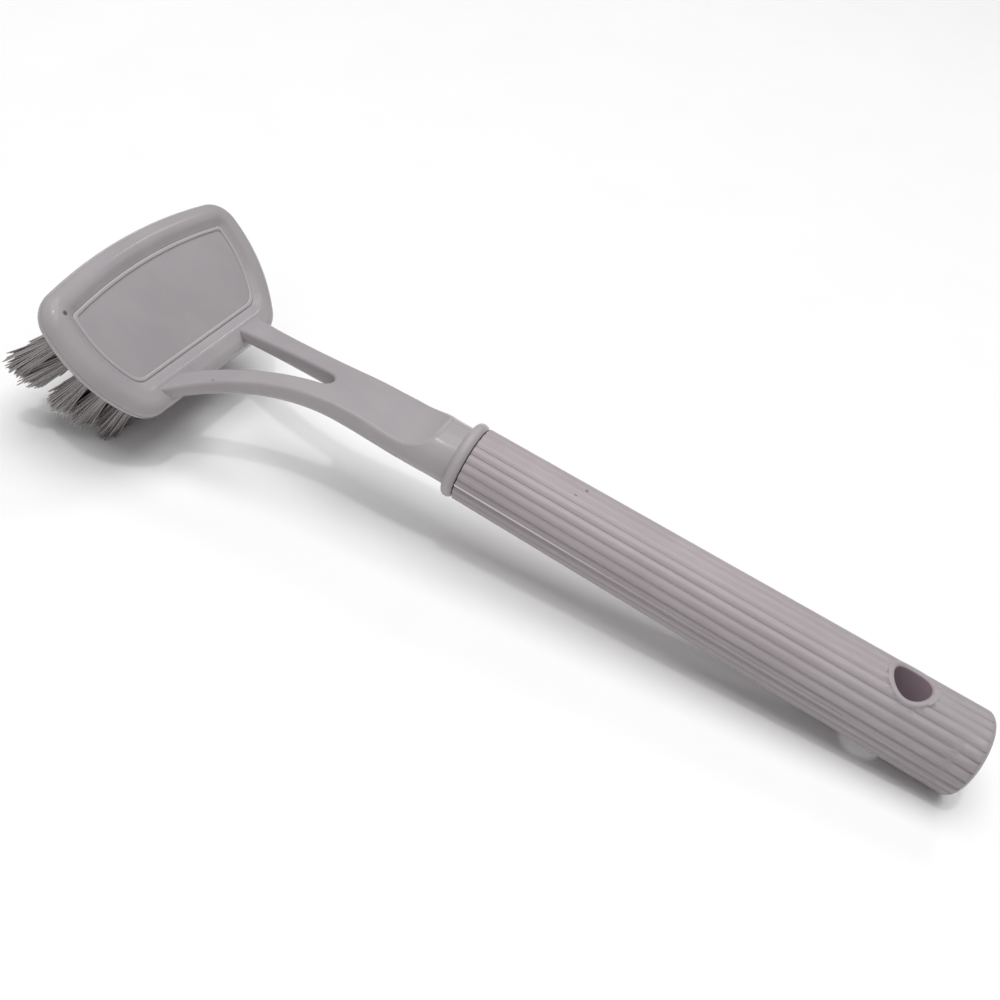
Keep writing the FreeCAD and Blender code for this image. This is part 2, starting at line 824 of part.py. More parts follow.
def head_place():
    """Where the head's middle sits in the handle's frame, tilted up towards its front."""
    base = Vector(-cell("head_reach").value, 0, cell("head_level").value)
    return Placement(base, Rotation(Vector(0, 1, 0), cell("head_tilt").value))


# Tufts, their sockets and anchors

def primitive(kind, name, place, **sizes):
    """A Part primitive placed in the head's frame."""
    item = doc.addObject(f"Part::{kind}", name)
    item.Placement = head_place() * place
    tie(item, **sizes)
    return item


def tuft_spots():
    """Label, mouth and direction of each tuft in the head's frame, row by row from the front."""
    under = -cell("head_depth").value
    front = -cell("tuft_front_row").value
    rear = cell("tuft_rear_row").value
    half_head = cell("head_half_width").value
    for row, (count, width_share) in enumerate(zip(TUFTS_IN_ROW, ROW_WIDTH_SHARES)):
        back_share = row / (len(TUFTS_IN_ROW) - 1)
        half_row = width_share * half_head
        lean = cell("tuft_rear_lean").value * back_share + cell("tuft_front_lean").value * (1 - back_share)
        bow = cell("tuft_front_bow").value * (1 - back_share)
        for column in range(count):
            side_share = column / (count - 1) * 2 - 1
            across = front + (rear - front) * back_share + bow * side_share * side_share
            up = half_row * side_share
            sideways = cell("tuft_side_lean").value * up / half_head
            way = Vector(math.tan(math.radians(lean)), math.tan(math.radians(sideways)), -1).normalize()
            yield f"tuft_row{row + 1}_{column + 1:02d}", Vector(across, up, under), way


def tufts_and_anchors():
    """Every tuft as its own solid, with the sockets and anchors that hold them."""
    upright = Vector(0, 0, 1)
    depth = cell("socket_depth")
    root_radius = cell("socket_radius") - cell("tuft_clearance")
    tip_radius = cell("tuft_tip_radius")
    tufts = []
    sockets = []
    anchors = []
    for label, mouth, way in tuft_spots():
        socket_base = mouth - upright * OVERRUN.value
        sockets.append(primitive("Cylinder", f"{label}_socket", Placement(socket_base, Rotation()),
                                 Radius=cell("socket_radius"), Height=depth + OVERRUN))
        anchor_top = depth - cell("anchor_seat")
        corner = mouth + Vector(-cell("anchor_thickness").value / 2, -cell("anchor_length").value / 2,
                                (anchor_top - cell("anchor_height")).value)
        anchor = primitive("Box", f"{label}_anchor", Placement(corner, Rotation()),
                           Length=cell("anchor_thickness"), Width=cell("anchor_length"),
                           Height=cell("anchor_height"))
        anchors.append(anchor)

        # A straight root in the socket, spreading to the tip along its lean
        root = primitive("Cylinder", f"{label}_root", Placement(mouth, Rotation()),
                         Radius=root_radius, Height=depth - cell("tuft_clearance"))
        collar_ring = primitive("Circle", f"{label}_mouth", Placement(mouth, Rotation()),
                                Radius=root_radius)
        tip = mouth + way * cell("tuft_length").value
        tip_ring = primitive("Circle", f"{label}_tip", Placement(tip, Rotation(upright, -way)),
                             Radius=tip_radius)
        spread = doc.addObject("Part::Loft", f"{label}_spread")
        spread.Sections = [collar_ring, tip_ring]
        spread.Solid = True
        spread.Ruled = True
        bundle = doc.addObject("Part::MultiFuse", f"{label}_bundle")
        bundle.Shapes = [root, spread]
        tuft = doc.addObject("Part::Cut", f"{label}_tuft")
        tuft.Base = bundle
        tuft.Tool = anchor
        tuft.Label = label
        tufts.append(tuft)
    return tufts, sockets, anchors


# Assembly

sleeve = handle_sleeve()
sleeve.Label = "handle_sleeve"
tufts, sockets, anchors = tufts_and_anchors()
anchor_group = grouped("tuft_anchors", anchors)
moulding = doc.addObject("Part::MultiFuse", "moulding")
moulding.Shapes = [head(), fork(), neck(), collar_and_tang()]
drilled = cut("drilled_moulding", moulding, grouped("tuft_sockets", sockets))
frame = cut("head_and_neck", drilled, anchor_group)
doc.recompute()

faulty = [item.Label for item in doc.Objects if "Invalid" in item.State or "Error" in item.State]
if faulty:
    raise RuntimeError(f"failed features: {faulty}")
for item in doc.Objects:
    if item.TypeId in ("PartDesign::Pocket", "PartDesign::Groove", "PartDesign::SubtractiveLoft"):
        if not item.Shape.Volume < item.BaseFeature.Shape.Volume:
            raise RuntimeError(f"{item.Label} removes nothing")


# Lay the brush down on its rear tufts and the handle's end

def lowest(points, pitch):
    return min(points, key=lambda point: point.z * math.cos(pitch) - point.x * math.sin(pitch))


step = cell("measure_step").value
heel_points = sleeve.Shape.tessellate(step)[0]
toe_points = [point for tuft in tufts for point in tuft.Shape.tessellate(step)[0]]
pitch = 0
for _ in range(SETTLING_PASSES):
    heel = lowest(heel_points, pitch)
    toe = lowest(toe_points, pitch)
    pitch = math.atan2(heel.z - toe.z, heel.x - toe.x)
turn = Placement(Vector(), Rotation(Vector(0, 1, 0), math.degrees(pitch)))
laid_points = [turn.multVec(point) for point in heel_points + toe_points]
ahead = min(point.x for point in laid_points)
behind = max(point.x for point in laid_points)
floor_level = min(point.z for point in laid_points)
rest = Placement(Vector(-(ahead + behind) / 2, 0, -floor_level), Rotation()) * turn

os.makedirs("parts", exist_ok=True)
for item in [frame, sleeve, anchor_group] + tufts:
    item.Placement = rest
    shape = item.Shape
    if shape.isNull() or not shape.isValid():
        raise RuntimeError(f"{item.Label} has no valid shape")
    shape.exportStep(f"parts/{item.Label}.step")
print("rest pitch", math.degrees(pitch), "offset", rest.Base)
hole_spot = Vector(cell("sleeve_length").value - cell("hanging_hole_from_end").value, 0, 0)
print("hanging hole", rest.multVec(hole_spot), rest.Rotation.multVec(Vector(0, 0, 1)))
for item in (frame, sleeve, anchor_group, tufts[0]):
    print(item.Label, len(item.Shape.Solids), item.Shape.Volume, item.Shape.BoundBox)
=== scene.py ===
import json
import math
import random

import bpy
import numpy as np
from mathutils import Euler, Matrix, Vector


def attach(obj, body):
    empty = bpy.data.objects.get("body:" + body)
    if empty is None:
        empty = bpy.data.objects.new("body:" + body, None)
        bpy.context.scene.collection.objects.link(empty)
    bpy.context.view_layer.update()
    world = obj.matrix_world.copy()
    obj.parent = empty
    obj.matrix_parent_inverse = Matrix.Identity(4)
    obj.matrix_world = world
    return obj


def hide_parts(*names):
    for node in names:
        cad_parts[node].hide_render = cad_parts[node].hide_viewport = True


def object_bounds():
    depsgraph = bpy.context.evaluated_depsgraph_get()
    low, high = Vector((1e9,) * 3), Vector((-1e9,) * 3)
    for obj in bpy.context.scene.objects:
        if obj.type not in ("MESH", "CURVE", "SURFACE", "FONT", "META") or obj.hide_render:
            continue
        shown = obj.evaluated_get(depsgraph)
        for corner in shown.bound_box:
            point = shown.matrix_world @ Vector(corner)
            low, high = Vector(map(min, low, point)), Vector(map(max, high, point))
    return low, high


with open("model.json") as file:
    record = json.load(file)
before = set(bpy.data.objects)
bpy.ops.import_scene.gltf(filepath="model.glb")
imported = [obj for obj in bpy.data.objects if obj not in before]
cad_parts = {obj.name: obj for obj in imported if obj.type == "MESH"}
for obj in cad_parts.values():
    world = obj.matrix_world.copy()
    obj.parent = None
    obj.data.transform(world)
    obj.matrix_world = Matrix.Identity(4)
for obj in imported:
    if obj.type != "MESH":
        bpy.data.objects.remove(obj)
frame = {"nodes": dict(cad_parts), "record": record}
cad_low, cad_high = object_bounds()
nodes = frame["nodes"]
bpy.ops.object.select_all(action="DESELECT")

# The handle's own frame: X along the handle from the collar's face, Z out through the hanging hole
MILLIMETRES_IN_METRE = 1000
HOLE_FROM_COLLAR = 0.122
hole = frame["record"]["mounts"][0]
hole_radius = hole["dims"]["r_mm"] / MILLIMETRES_IN_METRE
pitch = math.atan2(hole["axis"][0], hole["axis"][2])
handle_turn = Matrix.Rotation(pitch, 4, "Y")
handle_place = Vector(hole["pos_m"]) - handle_turn @ Vector((HOLE_FROM_COLLAR, 0, 0))
handle_frame = Matrix.Translation(handle_place) @ handle_turn

# The head's frame: X from the front edge to the fork, Z up out of the panel
HEAD_PLACE = Vector((-0.0915, 0, -0.00357))
HEAD_TILT = math.radians(36.7)
head_frame = handle_frame @ Matrix.Translation(HEAD_PLACE) @ Matrix.Rotation(HEAD_TILT, 4, "Y")
head_inverse = head_frame.inverted()

# The photograph's view, in the handle's frame
CAMERA_PLACE = Vector((0.048554, -0.233923, 0.20229))
CAMERA_TURN = [math.radians(angle) for angle in (46.0293, -18.057, 25.7408)]
CAMERA_LENS = 43.2
CAMERA_NEAREST = 0.01

# The ribbed sleeve, with pairs that run from its mouth to its end
SLEEVE_LENGTH = 0.145
SLEEVE_RADII = (0.0103, 0.012)
RIB_HEIGHTS = (0.00045, 0.00072)
RIB_SOFT_ANGLE = math.radians(74)
WELD_GAP = 0.000002

# The collar, by its place along the handle and its radius
COLLAR_START_SPAN = (-0.0062, -0.0056)
COLLAR_RADIUS_SPAN = (0.0104, 0.0110)

# The bead round the head's panel, where a highlight is painted, by its height, the tilt of its faces and its
# outline in plan
BEAD_FOOT_SPAN = (-0.00125, -0.00117)
BEAD_SIDE_TILTS = (0.80, 0.86)
BEAD_CREST_TILTS = (0.93, 0.97)
BEAD_FRONT_CENTRE = (0.15895, 0, 0)
BEAD_FRONT_RADIUS = 0.1744
BEAD_SIDE_CENTRE = (-0.0073, -0.00115, 0)
BEAD_SIDE_RADIUS = 0.0335
BEAD_REAR = 0.0120
BEAD_OUTLINE_FADE = 0.0003

# Specks of dirt on the rim, the near strut and the sleeve
RIM_SPECK = {"place": (-0.1131, -0.0337, 0.0435), "size": 0.0009}
STRUT_SPECK = {"place": (-0.0813, -0.0154, 0.0284), "size": 0.0006}
STRUT_SPECK_SHARE = 0.4
SLEEVE_SPECKS = (
    {"place": (0.0173, -0.0020, 0.0347), "size": 0.0006},
    {"place": (0.0190, 0.0017, 0.0344), "size": 0.0006},
)

# Filaments of the bristle tufts
FILAMENTS_IN_TUFT = 160
FILAMENT_RADIUS = 0.00019
FILAMENT_SIDES = 5
FILAMENT_CUT_SHARES = (0.25, 0.5, 0.75, 0.97)
TIP_RADIUS_SHARE = 0.55
TUFT_ROOT_DEPTH = 0.00455
FILAMENT_ROOT = 0.0015
ROOT_SPREAD = 0.0014
TIP_SPREAD = 0.0034
FILAMENT_BOW = 0.0005
LENGTH_JITTER_SHARE = 0.011
STRAY_SHARE = 0.015
STRAY_BOW = 0.0013
PALE_SHARE = 0.14
PALE_TONE_RANGE = (0.75, 1.0)
GREY_TONE_RANGE = (0.0, 0.55)
GOLDEN_ANGLE = math.pi * (3 - math.sqrt(5))
ANGLE_WANDER = 0.3
TUFT_WANDER = 0.0004
ROOT_SLICE = 0.0001
TIP_SLICE = 0.0002
TIP_SEARCHES = 2
FLOOR_CLEARANCE = 0.0001
SEED = 11

# How far use has combed the tips of each row from the front: the whole row, and its two ends besides
ROW_COMBED_ALONG = (0.0006, -0.0002, 0.0022, 0.0018, 0.0036)
ENDS_COMBED_ALONG = (-0.0013, -0.0008, 0.0, 0.0, -0.0014)
ENDS_COMBED_OUT = (0.0019, 0.0038, -0.0018, -0.0014, -0.0018)
ENDS_COMBED_POWER = 3

# Spans that several finishes share
UNIT = (0.0, 1.0)
FALLING = (1.0, 0.0)
NOISE_SPAN = (0.3, 0.7)
NOISE_MIDDLE = 0.5
SPOT_CORE_SHARE = 0.4


# Parts of a finish

def new_finish(name):
    finish = bpy.data.materials.new(name)
    finish.use_nodes = True
    return finish


def plug(finish, socket, value):
    """Sets a socket to a plain value, or links it to another node's output."""
    if isinstance(value, bpy.types.NodeSocket):
        finish.node_tree.links.new(value, socket)
    else:
        socket.default_value = value


def add(finish, kind, sockets, **settings):
    """A new shader node with its settings made and its sockets plugged."""
    node = finish.node_tree.nodes.new("ShaderNode" + kind)
    for name, value in settings.items():
        setattr(node, name, value)
    for name, value in sockets.items():
        plug(finish, node.inputs[name], value)
    return node


def cover(finish, looks):
    """Plugs tone, roughness and the like into the finish's own shader."""
    shader = finish.node_tree.nodes["Principled BSDF"]
    for name, value in looks.items():
        plug(finish, shader.inputs[name], value)


def object_place(finish):
    return add(finish, "TexCoord", {}).outputs["Object"]


def moved(finish, where, place=(0, 0, 0), turn=(0, 0, 0), scale=(1, 1, 1)):
    sockets = {"Vector": where, "Location": place, "Rotation": turn, "Scale": scale}
    return add(finish, "Mapping", sockets).outputs["Vector"]


def noise(finish, where, scale, detail=3.0, rough=0.5, warp=0.0):
    sockets = {"Vector": where, "Scale": scale, "Detail": detail, "Roughness": rough, "Distortion": warp}
    return add(finish, "TexNoise", sockets).outputs["Fac"]


def drawn_noise(finish, where, stretch, turn=(0, 0, 0), detail=2.0):
    """Noise drawn out along one way, by a scale for each axis."""
    return noise(finish, moved(finish, where, turn=turn, scale=stretch), scale=1.0, detail=detail)


def remap(finish, value, span, onto=UNIT, kind="SMOOTHSTEP"):
    """Carries a value from one span onto another, and holds it there past the ends."""
    sockets = {"Value": value, "From Min": span[0], "From Max": span[1], "To Min": onto[0], "To Max": onto[1]}
    return add(finish, "MapRange", sockets, interpolation_type=kind).outputs["Result"]


def reckon(finish, kind, first, second=0.0):
    return add(finish, "Math", {0: first, 1: second}, operation=kind).outputs["Value"]


def times(finish, first, second):
    return reckon(finish, "MULTIPLY", first, second)


def measure(finish, kind, first, second=(0, 0, 0)):
    """One number from two places, such as their distance, or from one place."""
    return add(finish, "VectorMath", {0: first, 1: second}, operation=kind).outputs["Value"]


def blend(finish, share, first, second):
    return add(finish, "MixRGB", {"Fac": share, "Color1": first, "Color2": second}).outputs["Color"]


def coat(finish, tone, colour, mask, share=1.0):
    """Lays a colour over a tone where the mask is, at most by the share."""
    return blend(finish, times(finish, mask, share), tone, colour)


def raised(finish, height, strength, distance, below=None):
    node = add(finish, "Bump", {"Height": height, "Strength": strength, "Distance": distance})
    if below is not None:
        plug(finish, node.inputs["Normal"], below)
    return node.outputs["Normal"]


def spot(finish, where, place, size):
    """One round mark, from 0 round it to 1 in its middle."""
    away = measure(finish, "DISTANCE", where, place)
    return remap(finish, away, (size * SPOT_CORE_SHARE, size), FALLING)


def inside_frame(finish, where, own_frame, angle):
    """Place in the handle's or the head's frame, which is turned by the angle about the brush's Y axis."""
    place = -(Matrix.Rotation(-angle, 4, "Y") @ own_frame.translation)
    inside = moved(finish, where, place=tuple(place), turn=(0, -angle, 0))
    return add(finish, "SeparateXYZ", {"Vector": inside}).outputs


def along_handle(finish, where):
    """Place in the handle's frame, and distance from the handle's middle line."""
    parts = inside_frame(finish, where, handle_frame, pitch)
    flat = add(finish, "CombineXYZ", {"Y": parts["Y"], "Z": parts["Z"]}).outputs["Vector"]
    return parts, measure(finish, "LENGTH", flat)


# Frame plastic: each pattern with its tone, the share of that tone and its relief
FRAME_TONES = ((0.372, 0.348, 0.362, 1), (0.412, 0.387, 0.401, 1))
FRAME_CLOUD = {"scale": 42.0, "detail": 4.0, "warp": 0.4}
FRAME_GRAIN = {"scale": 2600.0, "detail": 2.0}
FRAME_GRAIN_SPAN = (0.35, 0.65)
FRAME_GRAIN_TONE = (0.45, 0.43, 0.435, 1)
FRAME_GRAIN_SHARE = 0.10
FRAME_GRAIN_BUMP = {"strength": 0.05, "distance": 0.00006}
FRAME_RIPPLE_STRETCH = (30.0, 120.0, 120.0)
FRAME_RIPPLE_BUMP = {"strength": 0.12, "distance": 0.0003}
FRAME_SMUDGE = {"scale": 85.0, "detail": 5.0, "rough": 0.6, "warp": 0.8}
FRAME_ROUGHNESS = (0.12, 0.20)
HAIRLINES = (
    {"turn": (0.2, 0.1, 0.7), "stretch": (60.0, 1500.0, 60.0), "width": 0.012},
    {"turn": (0.3, 0.2, -0.5), "stretch": (1300.0, 50.0, 50.0), "width": 0.010},
)
HAIRLINE_DETAIL = 1.0
HAIRLINE_PATCHES = {"scale": 55.0, "detail": 2.0}
HAIRLINE_PATCH_SPAN = (0.56, 0.68)
HAIRLINE_TONE = (0.55, 0.53, 0.53, 1)
HAIRLINE_SHARE = 0.10
HAIRLINE_ROUGHNESS = 0.15
# Painted highlight: the collar's round face is lightened to stand in for its glossy highlights
COLLAR_PAINTED_HIGHLIGHT_TONE = (0.51, 0.48, 0.493, 1)
COLLAR_PAINTED_HIGHLIGHT_SHARE = 0.55
# Painted highlight: the bead's sides and crest are lightened to stand in for the bright line that light draws
# along it
BEAD_SIDE_PAINTED_HIGHLIGHT_TONE = (0.66, 0.63, 0.64, 1)
BEAD_SIDE_PAINTED_HIGHLIGHT_SHARE = 0.6
BEAD_CREST_PAINTED_HIGHLIGHT_TONE = (0.47, 0.445, 0.455, 1)
BEAD_CREST_PAINTED_HIGHLIGHT_SHARE = 0.7
FRAME_DIRT_EDGE = {"scale": 1100.0}
FRAME_DIRT_EDGE_SPAN = (0.28, 0.45)
FRAME_DIRT_TONE = (0.06, 0.05, 0.045, 1)
FRAME_DIRT_SHARE = 0.8
FRAME_SHADER = {
    "Specular IOR Level": 0.17,
    "Subsurface Weight": 0.06,
    "Subsurface Radius": (1.0, 0.9, 0.9),
    "Subsurface Scale": 0.0012,
}


def scratches(finish, where, turn, stretch, width):
    """Thin hairlines that run one way and break off, from 0 on bare plastic to 1 on a line."""
    lines = drawn_noise(finish, where, stretch, turn, HAIRLINE_DETAIL)
    from_line = reckon(finish, "ABSOLUTE", reckon(finish, "SUBTRACT", lines, NOISE_MIDDLE))
    line = remap(finish, from_line, (0.0, width), FALLING)
    patches = remap(finish, noise(finish, where, **HAIRLINE_PATCHES), HAIRLINE_PATCH_SPAN)
    return times(finish, line, patches)


def bead_highlight_faces(finish, where):
    """The bead's steep sides and its crest, each from 0 elsewhere to 1, where a highlight is painted."""
    parts = inside_frame(finish, where, head_frame, pitch + HEAD_TILT)
    half = {"X": parts["X"], "Y": reckon(finish, "ABSOLUTE", parts["Y"])}
    plan = add(finish, "CombineXYZ", half).outputs["Vector"]
    from_front = measure(finish, "DISTANCE", plan, BEAD_FRONT_CENTRE)
    from_side = measure(finish, "DISTANCE", plan, BEAD_SIDE_CENTRE)
    past_front = reckon(finish, "SUBTRACT", from_front, BEAD_FRONT_RADIUS)
    past_side = reckon(finish, "SUBTRACT", from_side, BEAD_SIDE_RADIUS)
    past_rear = reckon(finish, "SUBTRACT", parts["X"], BEAD_REAR)
    past = reckon(finish, "MAXIMUM", reckon(finish, "MAXIMUM", past_front, past_side), past_rear)
    within = remap(finish, past, (0.0, BEAD_OUTLINE_FADE), FALLING)
    band = times(finish, remap(finish, parts["Z"], BEAD_FOOT_SPAN), within)
    facing = add(finish, "TexCoord", {}).outputs["Normal"]
    upwards = tuple(head_frame.to_3x3() @ Vector((0, 0, 1)))
    tilt = measure(finish, "DOT_PRODUCT", facing, upwards)
    side = times(finish, band, remap(finish, tilt, BEAD_SIDE_TILTS, FALLING))
    crest = times(finish, band, remap(finish, tilt, BEAD_CREST_TILTS))
    return side, crest


def collar_face(finish, where):
    """The collar, from 0 elsewhere to 1 on its round face."""
    parts, radius = along_handle(finish, where)
    past_neck = remap(finish, parts["X"], COLLAR_START_SPAN)
    return times(finish, past_neck, remap(finish, radius, COLLAR_RADIUS_SPAN))


def frame_dirt(finish, where):
    """Ragged specks on the rim and, fainter, on the near strut."""
    on_rim = spot(finish, where, **RIM_SPECK)
    on_strut = times(finish, spot(finish, where, **STRUT_SPECK), STRUT_SPECK_SHARE)
    ragged = remap(finish, noise(finish, where, **FRAME_DIRT_EDGE), FRAME_DIRT_EDGE_SPAN)
    return times(finish, reckon(finish, "MAXIMUM", on_rim, on_strut), ragged)


def frame_plastic():
    """Satin moulded plastic of the head, fork, neck and collar."""
    finish = new_finish("frame_plastic_satin")
    where = object_place(finish)
    cloud = noise(finish, where, **FRAME_CLOUD)
    grain = noise(finish, where, **FRAME_GRAIN)
    ripple = drawn_noise(finish, where, FRAME_RIPPLE_STRETCH)
    smudge = noise(finish, where, **FRAME_SMUDGE)
    hairlines = reckon(finish, "MAXIMUM", *[scratches(finish, where, **lines) for lines in HAIRLINES])
    bead_side_highlight, bead_crest_highlight = bead_highlight_faces(finish, where)
    tone = blend(finish, remap(finish, cloud, NOISE_SPAN), *FRAME_TONES)
    tone = coat(finish, tone, FRAME_GRAIN_TONE, remap(finish, grain, FRAME_GRAIN_SPAN), FRAME_GRAIN_SHARE)
    tone = coat(finish, tone, HAIRLINE_TONE, hairlines, HAIRLINE_SHARE)
    # Painted highlight on the collar's round face
    tone = coat(finish, tone, COLLAR_PAINTED_HIGHLIGHT_TONE, collar_face(finish, where), COLLAR_PAINTED_HIGHLIGHT_SHARE)
    # Painted highlight along the bead's sides and crest
    tone = coat(finish, tone, BEAD_SIDE_PAINTED_HIGHLIGHT_TONE, bead_side_highlight, BEAD_SIDE_PAINTED_HIGHLIGHT_SHARE)
    tone = coat(finish, tone, BEAD_CREST_PAINTED_HIGHLIGHT_TONE, bead_crest_highlight, BEAD_CREST_PAINTED_HIGHLIGHT_SHARE)
    tone = coat(finish, tone, FRAME_DIRT_TONE, frame_dirt(finish, where), FRAME_DIRT_SHARE)
    dull = remap(finish, smudge, NOISE_SPAN, FRAME_ROUGHNESS)
    dull = reckon(finish, "ADD", dull, times(finish, hairlines, HAIRLINE_ROUGHNESS))
    surface = raised(finish, ripple, **FRAME_RIPPLE_BUMP)
    surface = raised(finish, grain, below=surface, **FRAME_GRAIN_BUMP)
    cover(finish, {"Base Color": tone, "Roughness": dull, "Normal": surface, **FRAME_SHADER})
    return finish


# Sleeve plastic: a pair of shares runs from its lower side to its upper side
SLEEVE_TONES = ((0.402, 0.354, 0.372, 1), (0.440, 0.391, 0.407, 1))
SLEEVE_CLOUD = {"scale": 34.0, "detail": 4.0, "warp": 0.5}
SLEEVE_GRAIN = {"scale": 2300.0, "detail": 3.0, "rough": 0.6}
SLEEVE_GRAIN_BUMP = {"strength": 0.10, "distance": 0.00006}
SLEEVE_SMUDGE = {"scale": 95.0, "detail": 5.0, "rough": 0.6, "warp": 0.7}
SLEEVE_ROUGHNESS = (0.46, 0.60)
SLEEVE_SPECULAR = 0.4
SLEEVE_DIRT_TONE = (0.09, 0.08, 0.08, 1)
SLEEVE_DIRT_SHARE = 0.6
UPPER_SIDE_SPAN = (-0.2, 0.9)
# Painted shade: the sleeve is darkened on its lower side, fading out towards its upper side
LOWER_SIDE_PAINTED_SHADE_TONE = (0.25, 0.225, 0.23, 1)
LOWER_SIDE_PAINTED_SHADE_SHARES = (0.31, 0.0)
SLEEVE_END_TONE = (0.315, 0.293, 0.297, 1)
SLEEVE_END_SPAN = (0.35, 1.0)
SLEEVE_END_SHARE = 0.5
STREAK_STRETCH = (22.0, 1400.0, 1400.0)
STREAK_SPAN = (0.4, 0.7)
STREAK_TONE = (0.50, 0.455, 0.465, 1)
STREAK_SHARE = 0.16
STREAK_BUMP = {"strength": 0.10, "distance": 0.00005}
# Painted shade: the rib valleys are darkened, more on the lower side than the upper
VALLEY_PAINTED_SHADE_SPAN = (0.15, 1.0)
VALLEY_PAINTED_SHADE_TONE = (0.245, 0.215, 0.222, 1)
VALLEY_PAINTED_SHADE_SHARES = (0.30, 0.08)
VALLEY_FILL_SHARES = (0.35, 0.5)
VALLEY_FILL_BUMP = {"strength": 1.0, "distance": 1.0}
# Painted light: the deepest part of each valley is lightened to offset the shade there, more on the lower
# side than the upper
VALLEY_FLOOR_LIGHT_DEPTH_SPAN = (0.7, 1.0)
VALLEY_FLOOR_LIGHT_UPPER_SPAN = (0.5, 1.0)
VALLEY_FLOOR_PAINTED_LIGHT_TONE = (0.60, 0.55, 0.56, 1)
VALLEY_FLOOR_PAINTED_LIGHT_SHARES = (0.35, 0.15)
RUBBED_DEPTH_SPAN = (0.0, 0.5)
RUBBED_PATCH_SPAN = (0.45, 0.7)
RUBBED_TONE = (0.53, 0.485, 0.49, 1)
RUBBED_SHARE = 0.22
RUBBED_POLISH = 0.06
HOLE_WALL_TONE = (0.385, 0.305, 0.35, 1)
HOLE_WALL_SHARE = 1.1
HOLE_WALL_SPAN = (0.0, 0.05)

# The painted highlight on the sleeve's parting line: half its width with a soft edge, and how it fades from
# the mouth on
PARTING_SPAN = (0.00016, 0.000208)
PARTING_PAINTED_HIGHLIGHT_TONE = (0.88, 0.85, 0.85, 1)
PARTING_ALONG_SPAN = (0.05, 0.45)
PARTING_FADE = (0.75, 0.03)


def parting_line_highlight(finish, height, along, rubbed):
    """Painted highlight on the sleeve's parting line, on the ribs' crests and strongest near the mouth."""
    line = remap(finish, reckon(finish, "ABSOLUTE", height), PARTING_SPAN, FALLING)
    line = times(finish, line, remap(finish, along, PARTING_ALONG_SPAN, PARTING_FADE))
    return times(finish, line, rubbed)


def hole_wall(finish, parts):
    """The wall of the hanging hole, from 0 elsewhere to 1."""
    flat = add(finish, "CombineXYZ", {"X": parts["X"], "Y": parts["Y"]}).outputs["Vector"]
    inside = spot(finish, flat, (HOLE_FROM_COLLAR, 0, 0), hole_radius * HOLE_WALL_SHARE)
    return remap(finish, inside, HOLE_WALL_SPAN)


